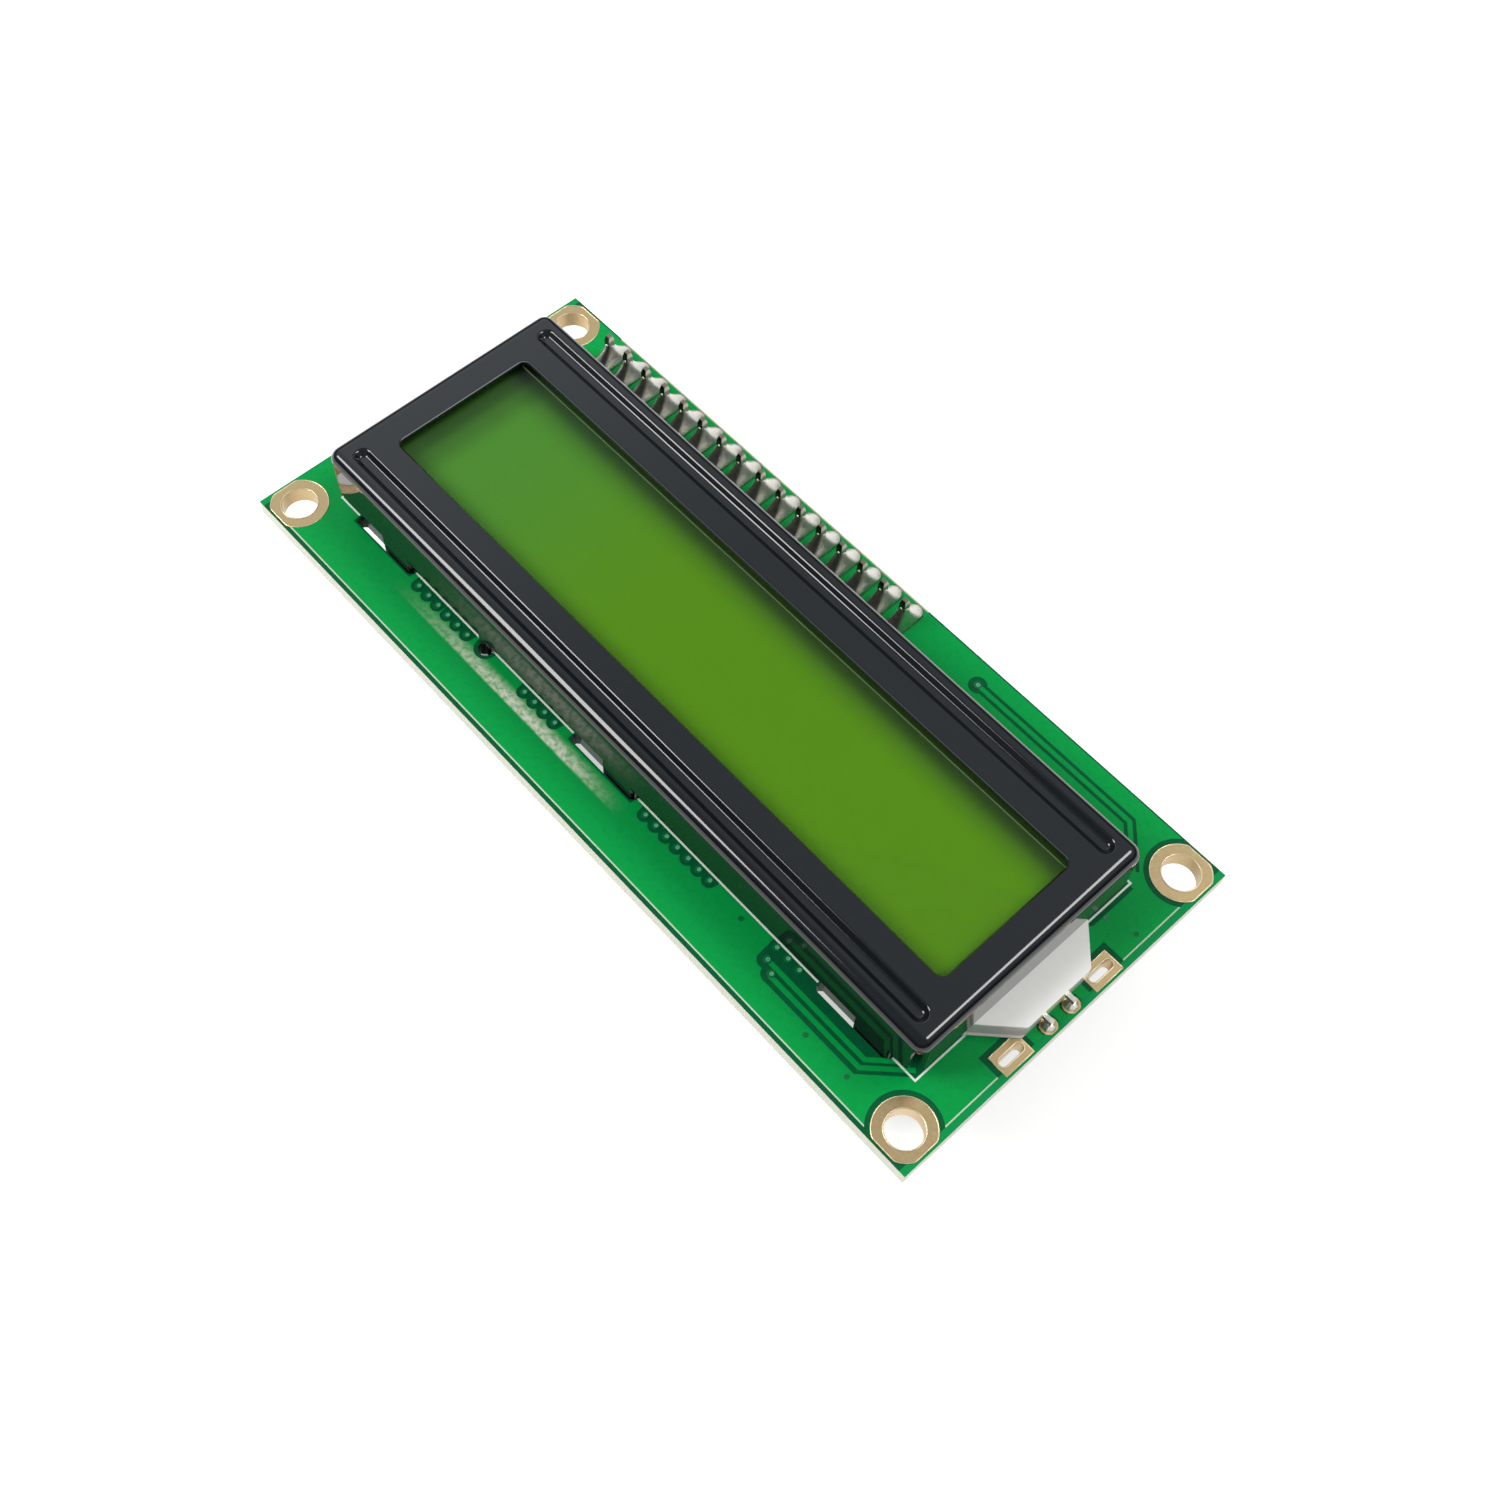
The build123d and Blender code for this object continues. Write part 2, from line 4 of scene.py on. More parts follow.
import bmesh
import bpy
import mathutils
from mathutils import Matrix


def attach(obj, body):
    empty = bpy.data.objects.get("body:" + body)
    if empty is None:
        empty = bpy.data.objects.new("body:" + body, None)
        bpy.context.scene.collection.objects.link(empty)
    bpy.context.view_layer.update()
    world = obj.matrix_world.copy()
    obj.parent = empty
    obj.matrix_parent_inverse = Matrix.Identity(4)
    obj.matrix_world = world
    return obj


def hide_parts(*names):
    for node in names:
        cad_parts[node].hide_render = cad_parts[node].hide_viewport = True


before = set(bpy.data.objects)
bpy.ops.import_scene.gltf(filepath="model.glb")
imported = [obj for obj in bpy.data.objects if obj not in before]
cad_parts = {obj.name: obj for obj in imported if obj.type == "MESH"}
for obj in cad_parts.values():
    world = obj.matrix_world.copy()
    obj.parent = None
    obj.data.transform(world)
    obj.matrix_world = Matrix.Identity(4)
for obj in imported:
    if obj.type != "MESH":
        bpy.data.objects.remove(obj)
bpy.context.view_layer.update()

MM = 0.001


# Camera.
# It stands in front and to the right of the board and looks down steeply, as the photograph does.
CAMERA_PLACE = (54.7035, -52.9674, 127.6205)
CAMERA_ANGLES = (28.8496, -1.5204, 47.6734)
CAMERA_LENS = 43.184
CAMERA_SENSOR = 36.0
CAMERA_SHIFT = (0.00777, -0.00175)
CAMERA_NEAR = 0.01         # metres

camera_data = bpy.data.cameras.new("camera")
camera_data.sensor_width = CAMERA_SENSOR
camera_data.lens = CAMERA_LENS
camera_data.shift_x, camera_data.shift_y = CAMERA_SHIFT
camera_data.clip_start = CAMERA_NEAR
camera = bpy.data.objects.new("camera", camera_data)
camera.location = [value * MM for value in CAMERA_PLACE]
camera.rotation_euler = [math.radians(angle) for angle in CAMERA_ANGLES]
bpy.context.scene.collection.objects.link(camera)
bpy.context.scene.camera = camera


# Circuit board.
# Woven glass laminate, 1.6 mm thick, routed to size. Both faces are screened with green
# solder mask. The outer sides show the pale laminate, and the inner walls are a dark green,
# partly mask run into them and partly painted shade.
MASK_ON_LAMINATE = "#066039"
LAMINATE = "#dbddcc"
BOARD_HALF = (40.0, 18.0)
OUTER_SIDE = 0.05          # mm, a wall this near the outline is one of the board's outer sides
PAINTED_END_LIGHT_REACH = 0.6             # mm, the painted light from a cut end reaches this far in under the mask
BARE_STRIP = (-33.3, 7.0, 17.85)  # the mask stops short of the back edge between these two ends
FACE_SLOPE = 0.5           # a surface that looks up or down more than this is a face, not a wall
MASK_ROUGHNESS = 0.28
MASK_SPECULAR = 0.08
CLOTH_PITCH = 0.55         # mm, the weave of the glass cloth that shows through the mask
GRAIN_DETAIL = 0.6         # how strongly the finer grains of a mottled finish show

MATHS = "ShaderNodeMath"
MIX = "ShaderNodeMix"
RAMP = "ShaderNodeMapRange"


def colour(text):
    """A linear colour from an sRGB hex value."""
    values = [int(text[i:i + 2], 16) / 255 for i in (1, 3, 5)]
    return tuple(v / 12.92 if v <= 0.04045 else ((v + 0.055) / 1.055) ** 2.4 for v in values) + (1.0,)


def feed(socket, value):
    """Give a socket a plain value, another socket, or the first result of a node."""
    if isinstance(value, bpy.types.Node):
        value = next(output for output in value.outputs if output.enabled)
    if isinstance(value, bpy.types.NodeSocket):
        socket.id_data.links.new(value, socket)
    else:
        socket.default_value = value


def add(tree, kind, inputs=(), **settings):
    """Add a node with its settings, and feed its inputs in their order or by their names."""
    new = tree.nodes.new(kind)
    for key, value in settings.items():
        setattr(new, key, value)
    if isinstance(inputs, dict):
        for key, value in inputs.items():
            feed(new.inputs[key], value)
    else:
        sockets = [socket for socket in new.inputs if socket.enabled]
        for socket, value in zip(sockets, inputs):
            feed(socket, value)
    return new


def new_material(name, **values):
    """A material with its tree and shader, and the shader's plain values set."""
    material = bpy.data.materials.new(name)
    material.use_nodes = True
    shader = material.node_tree.nodes["Principled BSDF"]
    for key, value in values.items():
        shader.inputs[key.replace("_", " ")].default_value = value
    return material, material.node_tree, shader


def mottle(tree, shader, light, dark, size, bump=0.0, roughness=None, detail=3.0):
    """Colour that drifts between two shades, with a bump and gloss of the same grain, sized in mm."""
    noise = add(tree, "ShaderNodeTexNoise", {
        "Vector": add(tree, "ShaderNodeTexCoord").outputs["Object"],
        "Scale": 1 / (size * MM), "Detail": detail, "Roughness": GRAIN_DETAIL,
    })
    shades = add(tree, MIX, (noise, colour(dark), colour(light)), data_type="RGBA")
    feed(shader.inputs["Base Color"], shades)
    if roughness:
        feed(shader.inputs["Roughness"], add(tree, RAMP, (noise, 0.0, 1.0, *roughness)))
    if bump:
        relief = add(tree, "ShaderNodeBump", {"Height": noise, "Strength": 1.0, "Distance": bump * MM})
        feed(shader.inputs["Normal"], relief)
    return shades


def part_place(tree):
    """The X, Y and Z of the place on the part, in metres."""
    object_place = add(tree, "ShaderNodeTexCoord").outputs["Object"]
    return add(tree, "ShaderNodeSeparateXYZ", [object_place]).outputs


def near(tree, value, middle, reach):
    """One where a coordinate is within reach of a place in mm, and zero elsewhere."""
    along = add(tree, MATHS, (value, middle * MM), operation="SUBTRACT")
    away = add(tree, MATHS, [along], operation="ABSOLUTE")
    return add(tree, MATHS, (away, reach * MM), operation="LESS_THAN")


def facing(tree, axis, slope):
    """One where the surface looks either way along an axis, and zero elsewhere."""
    normal = add(tree, "ShaderNodeNewGeometry").outputs["Normal"]
    along = add(tree, "ShaderNodeSeparateXYZ", [normal]).outputs[axis]
    squarely = add(tree, MATHS, [along], operation="ABSOLUTE")
    return add(tree, MATHS, (squarely, slope), operation="GREATER_THAN")


def dress(node_name, material):
    """Give a CAD node its finish."""
    node_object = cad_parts[node_name]
    if not node_object.material_slots:
        node_object.data.materials.append(material)
    for material_slot in node_object.material_slots:
        material_slot.material = material


# Green solder mask straight on the laminate is dark, and the glass cloth gives it a faint grain.
# At the two ends a paler green is painted light from the cut side, and a strip behind the pins
# was left without mask.
board_material, tree, shader = new_material(
    "solder mask on glass laminate", Roughness=MASK_ROUGHNESS, Specular_IOR_Level=MASK_SPECULAR,
)
mask_shades = mottle(tree, shader, MASK_ON_LAMINATE, "#044a2b", CLOTH_PITCH, bump=0.006)
place = part_place(tree)
from_outline = []
for axis, half_size in zip("XY", BOARD_HALF):
    outward = add(tree, MATHS, [place[axis]], operation="ABSOLUTE")
    from_outline.append(add(tree, MATHS, (half_size * MM, outward), operation="SUBTRACT"))
# Painted light: the mask is a paler green near the two cut ends.
painted_end_light = add(tree, MATHS, (from_outline[0], PAINTED_END_LIGHT_REACH * MM), operation="LESS_THAN")
mask_with_painted_end_light = add(tree, MIX, (painted_end_light, mask_shades, colour("#0c8a49")), data_type="RGBA")

strip_left, strip_right, strip_front = BARE_STRIP
along_strip = near(tree, place["X"], (strip_left + strip_right) / 2, (strip_right - strip_left) / 2)
past_front = add(tree, MATHS, (place["Y"], strip_front * MM), operation="GREATER_THAN")
in_strip = add(tree, MATHS, (along_strip, past_front), operation="MULTIPLY")
face = add(tree, MIX, (in_strip, mask_with_painted_end_light, colour("#a9b596")), data_type="RGBA")

# Walls inside the outline get a dark green that is partly mask run into them and partly painted shade.
inward = add(tree, MATHS, from_outline, operation="MINIMUM")
outer_side = add(tree, MATHS, (inward, OUTER_SIDE * MM), operation="LESS_THAN")
wall = add(tree, MIX, (outer_side, colour("#0b3d26"), colour(LAMINATE)), data_type="RGBA")
board_shades = add(tree, MIX, (facing(tree, "Z", FACE_SLOPE), wall, face), data_type="RGBA")
feed(shader.inputs["Base Color"], board_shades)
dress("circuit_board", board_material)


# Copper pour.
# Rolled copper etched away around holes, lands and tracks. Under the mask it is the bright
# green field, standing a few hundredths of a millimetre above the bare laminate.
COPPER_HEIGHT = 0.03
COPPER_EDGE = 0.012        # rounding of the mask where it steps off the copper
MASK_ON_COPPER = "#059a46"
POUR_LEFT, POUR_RIGHT, POUR_FRONT, POUR_BACK = -39.7, 39.42, -17.62, 17.85
POUR_BACK_AT_STRIP = 17.8  # it stops a little earlier where the strip has no mask
MOUNT_X, MOUNT_Y = 37.5, 15.5
MOUNT_CLEARANCE = 3.0
JOINED_LAND = 2.5          # the two left lands touch the pour
EDGE_LAND_NOTCHES = ((-7.55, -3.6), (2.6, 6.5))
EDGE_LAND_NOTCH_X = 37.35
LAMP_LAND_YS = (-1.74, 0.8)
LAMP_NOTCH_XS = (38.7, 38.25)      # the notch round a lamp land narrows between these two
LAMP_NOTCH_HALVES = (0.85, 0.4)    # half its width at its mouth and at its inner end
UNDER_BEZEL = (-35.0, 35.45, 11.6)
BACK_RIGHT_STEP = (35.9, 6.4)
SKIRT_POUR_EDGE = -12.42
SLOT_XS = (-29.0, 0.0, 29.0)
SLOT_LENGTH = 7.7
SLOT_CLEARANCE = 0.1
SLOT_POUR_EDGE = -13.05
PAINTED_EDGE_HIGHLIGHT = 0.06           # half the width of the painted highlight on the pour's right and front edges
PAINTED_EDGE_HIGHLIGHT_START = 6.4      # on the right edge it lies outside the two edge lands
PAINTED_EDGE_HIGHLIGHT_STRENGTH = 0.7
STREAK_X = (-26.0, -9.0, -4.5, 4.5)
STREAK_Y = (-14.75, -14.5, -14.2, -13.1)
STREAK_GRAIN = 0.5         # mm
STREAK_PATCHES = (0.35, 0.6)       # the noise between which the painted light goes from thin to full
STREAK_THIN = 0.35
VIA_CLEARANCE = 0.66
SKIRT_VIAS = (
    [(-23.8 + 1.32 * i, -12.97) for i in range(6)]
    + [(-9.7 + 1.3 * i, -12.88) for i in range(4)]
    + [(5.5 + 1.28 * i, -12.85) for i in range(7)]
    + [(20.8 + 1.25 * i, -12.75) for i in range(3)]
)
TRACK_VIAS = ((21.05, -13.97), (22.1, -14.55))
TRACK_VIA_CLEARANCE = 0.82
TRACKS_POUR_EDGE = -15.35  # in front of the two front tracks
TRACKS_SLANT = 47.35       # past that, x less this, as the tracks turn back at 45 degrees
LOCATING_HOLE = (-15.08, -12.6)
LOCATING_CLEARANCE = 1.05
STEP = 0.1                 # mm between points along a worked-out edge
COPPER_EDGE_STEPS = 1
MITRE_LIMIT = 0.5          # keeps a sharp turn of a track from drawing out to a spike
SAME_POINT = 1e-7          # metres
TRACK_WIDTH = 0.42
TRACK_GAP = 0.3
BACK_TRACK = ((14.8, 15.85), (15.6, 15.85), (31.75, 15.85), (34.9, 12.7))
BACK_VIA_ARC = (-35, -325)         # degrees, the gap round the back track's via, open at the track
FRONT_TRACKS = (
    ((21.05, -13.97), (21.4, -13.97), (31.75, -13.97), (34.0, -11.72)),
    ((22.1, -14.72), (22.4, -14.72), (31.9, -14.72), (34.9, -11.72)),
)


def arc(centre, radius, start, end, points=24):
    """Points along an arc, angles in degrees."""
    angles = [math.radians(start + (end - start) * i / (points - 1)) for i in range(points)]
    return [(centre[0] + radius * math.cos(a), centre[1] + radius * math.sin(a)) for a in angles]


def corner_arc(side_x, side_y, radius, turn):
    """The edge of the pour round one mounting land, inside the board's corner."""
    edge_x = (POUR_RIGHT if side_x > 0 else -POUR_LEFT) - MOUNT_X
    edge_y = (POUR_BACK if side_y > 0 else -POUR_FRONT) - MOUNT_Y
    along_x = math.degrees(math.acos(edge_x / radius))
    along_y = math.degrees(math.asin(edge_y / radius))
    swept = arc((0, 0), radius, 180 - along_y, 360 - along_x)
    points = [(side_x * MOUNT_X + side_x * a, side_y * MOUNT_Y + side_y * b) for a, b in swept]
    return points[::turn]


def edge_notch(low, high):
    """The pour's way round one slotted edge land."""
    return [(POUR_RIGHT, low), (EDGE_LAND_NOTCH_X, low), (EDGE_LAND_NOTCH_X, high), (POUR_RIGHT, high)]


def front_edge(x):
    """How far forward the bare area under the bezel reaches at x."""
    edge = SKIRT_POUR_EDGE
    for slot_x in SLOT_XS:
        if abs(x - slot_x) < SLOT_LENGTH / 2 + SLOT_CLEARANCE:
            edge = min(edge, SLOT_POUR_EDGE)
    circles = [(via, VIA_CLEARANCE) for via in SKIRT_VIAS] + [(LOCATING_HOLE, LOCATING_CLEARANCE)]
    circles += [(via, TRACK_VIA_CLEARANCE) for via in TRACK_VIAS]
    for (via_x, via_y), radius in circles:
        if abs(x - via_x) < radius:
            edge = min(edge, via_y - math.sqrt(radius**2 - (x - via_x) ** 2))
    if x > TRACK_VIAS[1][0]:
        edge = min(edge, max(TRACKS_POUR_EDGE, x - TRACKS_SLANT))
    return edge


def ribbon(path, width):
    """The closed outline of a band of even width along a path."""
    sides = ([], [])
    for i, (x, y) in enumerate(path):
        steps = []
        for a, b in ((max(i - 1, 0), max(i, 1)), (min(i, len(path) - 2), min(i + 1, len(path) - 1))):
            length = math.dist(path[a], path[b])
            steps.append(((path[b][0] - path[a][0]) / length, (path[b][1] - path[a][1]) / length))
        mean = (steps[0][0] + steps[1][0], steps[0][1] + steps[1][1])
        size = math.hypot(*mean)
        normal = (-mean[1] / size, mean[0] / size)
        reach = width / 2 / max(MITRE_LIMIT, normal[0] * -steps[1][1] + normal[1] * steps[1][0])
        sides[0].append((x + normal[0] * reach, y + normal[1] * reach))
        sides[1].append((x - normal[0] * reach, y - normal[1] * reach))
    return sides[0] + sides[1][::-1]


def evaluated_mesh(worked):
    """The plain mesh of an object whose curve or modifiers have been worked out."""
    depsgraph = bpy.context.evaluated_depsgraph_get()
    return bpy.data.meshes.new_from_object(worked.evaluated_get(depsgraph))


def drawn_piece(name, curve, outlines, height, material):
    """A piece from a curve along closed outlines, in mm."""
    for outline in outlines:
        spline = curve.splines.new("POLY")
        spline.points.add(len(outline) - 1)
        for point, (x, y) in zip(spline.points, outline):
            point.co = (x * MM, y * MM, height * MM, 1)
        spline.use_cyclic_u = True
    drawn = bpy.data.objects.new(name + "_outline", curve)
    bpy.context.scene.collection.objects.link(drawn)
    mesh = evaluated_mesh(drawn)
    bpy.data.objects.remove(drawn)
    mesh.materials.clear()
    mesh.materials.append(material)
    piece = bpy.data.objects.new(name, mesh)
    bpy.context.scene.collection.objects.link(piece)
    return piece


def flat_piece(name, outlines, bottom, height, material, edge=0.0):
    """A thin flat piece with openings, from closed outlines in mm."""
    curve = bpy.data.curves.new(name, "CURVE")
    curve.dimensions = "2D"
    curve.fill_mode = "BOTH"
    curve.extrude = height * MM / 2 - edge * MM
    curve.bevel_depth = edge * MM
    curve.bevel_resolution = COPPER_EDGE_STEPS
    curve.offset = -edge * MM
    piece = drawn_piece(name, curve, outlines, 0, material)
    work = bmesh.new()
    work.from_mesh(piece.data)
    bmesh.ops.remove_doubles(work, verts=work.verts, dist=SAME_POINT)
    bmesh.ops.translate(work, verts=work.verts, vec=(0, 0, (bottom + height / 2) * MM))
    bmesh.ops.recalc_face_normals(work, faces=work.faces)
    work.to_mesh(piece.data)
    work.free()
    return piece


def join_board(piece):
    """The piece rides on the body."""
    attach(piece, "root")


def hump(tree, value, stops):
    """A share that rises between the first two of four places in mm and falls between the last two."""
    rising, falling = (
        add(tree, RAMP, (value, start * MM, end * MM), interpolation_type="SMOOTHSTEP")
        for start, end in ((stops[0], stops[1]), (stops[3], stops[2]))
    )
    return add(tree, MATHS, (rising, falling), operation="MULTIPLY")


# Mask over copper is bright and glossy, with slow drifts of thickness and a fine dusty grain.
# A pale line along the right and front edges is a painted highlight where the mask steps off
# the copper, and a pale mottled streak in front of the bezel is painted light from the bezel's side.
pour_material, tree, shader = new_material(
    "solder mask on copper", Roughness=MASK_ROUGHNESS, Specular_IOR_Level=MASK_SPECULAR,
)
pour_shades = mottle(
    tree, shader, MASK_ON_COPPER, "#048a3e", CLOTH_PITCH, bump=0.004, roughness=(0.22, 0.36),
)
place = part_place(tree)
# Painted highlight: a pale line along the pour's right and front edges.
sideways = add(tree, MATHS, [place["Y"]], operation="ABSOLUTE")
past_lands = add(tree, MATHS, (sideways, PAINTED_EDGE_HIGHLIGHT_START * MM), operation="GREATER_THAN")
right_painted_highlight = near(tree, place["X"], POUR_RIGHT - PAINTED_EDGE_HIGHLIGHT, PAINTED_EDGE_HIGHLIGHT)
right_painted_highlight = add(tree, MATHS, (right_painted_highlight, past_lands), operation="MULTIPLY")
front_painted_highlight = near(tree, place["Y"], POUR_FRONT + PAINTED_EDGE_HIGHLIGHT, PAINTED_EDGE_HIGHLIGHT)
painted_edge_highlight = add(tree, MATHS, (right_painted_highlight, front_painted_highlight), operation="MAXIMUM")
painted_edge_highlight = add(tree, MATHS, (painted_edge_highlight, PAINTED_EDGE_HIGHLIGHT_STRENGTH), operation="MULTIPLY")

# Painted light: a pale mottled streak in front of the bezel, where its glossy side throws light back on
# the board.
patches = add(tree, "ShaderNodeTexNoise", {
    "Vector": add(tree, "ShaderNodeTexCoord").outputs["Object"], "Scale": 1 / (STREAK_GRAIN * MM),
})
cover = add(tree, RAMP, (patches, *STREAK_PATCHES, STREAK_THIN, 1.0))
painted_streak = [hump(tree, place["X"], STREAK_X), hump(tree, place["Y"], STREAK_Y)]
painted_streak = add(tree, MATHS, painted_streak, operation="MULTIPLY")
painted_streak = add(tree, MATHS, (painted_streak, cover), operation="MULTIPLY")
painted_light = add(tree, MATHS, (painted_edge_highlight, painted_streak), operation="MAXIMUM")
pour_with_painted_light = add(tree, MIX, (painted_light, pour_shades, colour("#d3dcc8")), data_type="RGBA")
feed(shader.inputs["Base Color"], pour_with_painted_light)

right_side = edge_notch(*EDGE_LAND_NOTCHES[0])
mouth_x, inner_x = LAMP_NOTCH_XS
mouth, inner = LAMP_NOTCH_HALVES
for y in LAMP_LAND_YS:
    right_side += [
        (POUR_RIGHT, y - mouth), (mouth_x, y - mouth), (inner_x, y - inner),
        (inner_x, y + inner), (mouth_x, y + mouth), (POUR_RIGHT, y + mouth),
    ]
right_side += edge_notch(*EDGE_LAND_NOTCHES[1])
pour_outline = (
    corner_arc(-1, -1, JOINED_LAND, -1)
    + corner_arc(1, -1, MOUNT_CLEARANCE, 1)
    + right_side
    + corner_arc(1, 1, MOUNT_CLEARANCE, -1)
    + [(strip_right, POUR_BACK), (strip_right, POUR_BACK_AT_STRIP)]
    + [(strip_left, POUR_BACK_AT_STRIP), (strip_left, POUR_BACK)]
    + corner_arc(-1, 1, JOINED_LAND, 1)
)
left, right, back = UNDER_BEZEL
count = int((right - left) / STEP)
under_bezel = [(left + i * STEP, front_edge(left + i * STEP)) for i in range(count + 1)]
step_x, step_y = BACK_RIGHT_STEP
under_bezel += [(right, step_y), (step_x, step_y + step_x - right), (step_x, back), (left, back)]
back_gap = ribbon(BACK_TRACK[1:], TRACK_WIDTH + 2 * TRACK_GAP)
back_gap += arc(BACK_TRACK[0], TRACK_VIA_CLEARANCE, *BACK_VIA_ARC)
pour = flat_piece(
    "copper_pour", [pour_outline, under_bezel, back_gap], 0, COPPER_HEIGHT, pour_material, COPPER_EDGE,
)
join_board(pour)


# Tracks.
# Narrow strips of the same copper under the same mask. Each runs from a via in its own etched
# gap in the pour.
tracks = flat_piece(
    "board_tracks",
    [ribbon(path, TRACK_WIDTH) for path in (*FRONT_TRACKS, BACK_TRACK)],
    0, COPPER_HEIGHT, pour_material, COPPER_EDGE,
)
join_board(tracks)


# Vias.
# Small plated holes that carry a track through the board. The mask covers them, so each one
# is a low dark green ring with a dimple.
VIA_SIZES = {"Radius": 0.36, "Dimple": 0.13, "Height": 0.05}
PLUG_SIZES = {"Radius": 0.17, "Dimple": 0.1, "Height": 0.062}
PLUG_SHIFT = 0.03          # mm, the pooled mask lies a little off the middle
LONE_VIA_SIZES = {"Radius": 0.22, "Dimple": 0.12, "Height": 0.03}
LONE_VIAS = ((17.2, -13.2), (27.4, -15.95), (31.8, -15.9), (38.6, 8.9), (36.1, 8.1))
VIA_SIDES = 20
PIT_DEPTH = 0.8            # share of the ring's height


def repeat_tree(name, sizes):
    """A geometry tree with named size inputs, in mm, and its ends."""
    tree = bpy.data.node_groups.new(name, "GeometryNodeTree")
    tree.interface.new_socket("Geometry", in_out="INPUT", socket_type="NodeSocketGeometry")
    for key in sizes:
        tree.interface.new_socket(key, in_out="INPUT", socket_type="NodeSocketFloat")
    tree.interface.new_socket("Material", in_out="INPUT", socket_type="NodeSocketMaterial")
    tree.interface.new_socket("Geometry", in_out="OUTPUT", socket_type="NodeSocketGeometry")
    return tree, add(tree, "NodeGroupInput"), add(tree, "NodeGroupOutput")


def set_on_points(tree, shape, given, result):
    """End a geometry tree with a copy of the shape on every point."""
    spread = add(tree, "GeometryNodeInstanceOnPoints", {
        "Points": given.outputs["Geometry"], "Instance": shape,
    })
    real = add(tree, "GeometryNodeRealizeInstances", [spread])
    painted = add(tree, "GeometryNodeSetMaterial", {
        "Geometry": real, "Material": given.outputs["Material"],
    })
    feed(result.inputs["Geometry"], painted)


def points_object(name, places):
    """Loose points, in mm, for a geometry tree to work on."""
    mesh = bpy.data.meshes.new(name)
    mesh.from_pydata([[value * MM for value in place] for place in places], [], [])
    points = bpy.data.objects.new(name, mesh)
    bpy.context.scene.collection.objects.link(points)
    return points


def grow(piece, tree, sizes, material):
    """Run a geometry tree on the piece and keep the result as its plain mesh."""
    modifier = piece.modifiers.new("shape", "NODES")
    modifier.node_group = tree
    ends = [item for item in tree.interface.items_tree if item.in_out == "INPUT"]
    identifiers = {item.name: item.identifier for item in ends}
    for key, value in sizes.items():
        modifier[identifiers[key]] = value * MM
    modifier[identifiers["Material"]] = material
    mesh = evaluated_mesh(piece)
    piece.modifiers.remove(modifier)
    piece.data = mesh


# Mask over a via is thick in the hole and thin on its rim, so it looks darker than the pour.
via_material, tree, shader = new_material("solder mask on via", Roughness=0.22, Specular_IOR_Level=0.3)
mottle(tree, shader, "#0b7440", "#075c33", 0.3, bump=0.003)

# Mask that pooled in the hole is smooth, and its pale green is a painted highlight, a small dot.
plug_highlight_material, tree, shader = new_material("mask pooled in a via, with a painted highlight", Roughness=0.15, Specular_IOR_Level=0.5)
mottle(tree, shader, "#7fc7a0", "#4fa57c", 0.1)

via_tree, given, result = repeat_tree("via_rings", VIA_SIZES)
disc = add(via_tree, "GeometryNodeMeshCircle", (VIA_SIDES, given.outputs["Radius"]), fill_type="NGON")
raised = add(via_tree, "GeometryNodeExtrudeMesh", {
    "Mesh": disc, "Offset Scale": given.outputs["Height"],
})
crown = add(via_tree, "GeometryNodeExtrudeMesh", {
    "Mesh": raised, "Selection": raised.outputs["Top"], "Offset Scale": 0.0,
}, mode="FACES")
narrowed = add(via_tree, "GeometryNodeScaleElements", {
    "Geometry": crown, "Selection": crown.outputs["Top"],
    "Scale": add(via_tree, MATHS, (given.outputs["Dimple"], given.outputs["Radius"]), operation="DIVIDE"),
})
pit = add(via_tree, "GeometryNodeExtrudeMesh", {
    "Mesh": narrowed, "Selection": crown.outputs["Top"],
    "Offset Scale": add(via_tree, MATHS, (given.outputs["Height"], -PIT_DEPTH), operation="MULTIPLY"),
})
set_on_points(via_tree, pit, given, result)

via_places = [*SKIRT_VIAS, *TRACK_VIAS, BACK_TRACK[0]]
vias = points_object("board_vias", [(x, y, 0.0) for x, y in via_places])
grow(vias, via_tree, VIA_SIZES, via_material)
join_board(vias)
plugs = points_object("via_plugs", [(x + PLUG_SHIFT, y + PLUG_SHIFT, 0.0) for x, y in via_places])
grow(plugs, via_tree, PLUG_SIZES, plug_highlight_material)
join_board(plugs)
lone = points_object("pour_vias", [(x, y, COPPER_HEIGHT) for x, y in LONE_VIAS])
grow(lone, via_tree, LONE_VIA_SIZES, via_material)
join_board(lone)


# Printed outline.
# A thin white line of ink, screened on the mask to show where the bezel goes. It stops at
# the slots.
LINE_WIDTH = 0.17
LINE_HEIGHT = 0.015
LINE_LEFT, LINE_RIGHT, LINE_FRONT, LINE_BACK = -35.6, 35.42, -12.33, 11.8
SLOT_MARGIN = 0.15

# Screen ink is matt, and the green of the mask shows faintly through its white.
ink_material, tree, shader = new_material("white screen ink", Roughness=0.6)
mottle(tree, shader, "#e2ece2", "#c9dccf", 0.4)


def bar(x_range, y_range):
    """A rectangle's outline."""
    (left, right), (front, back) = x_range, y_range
    return [(left, front), (right, front), (right, back), (left, back)]


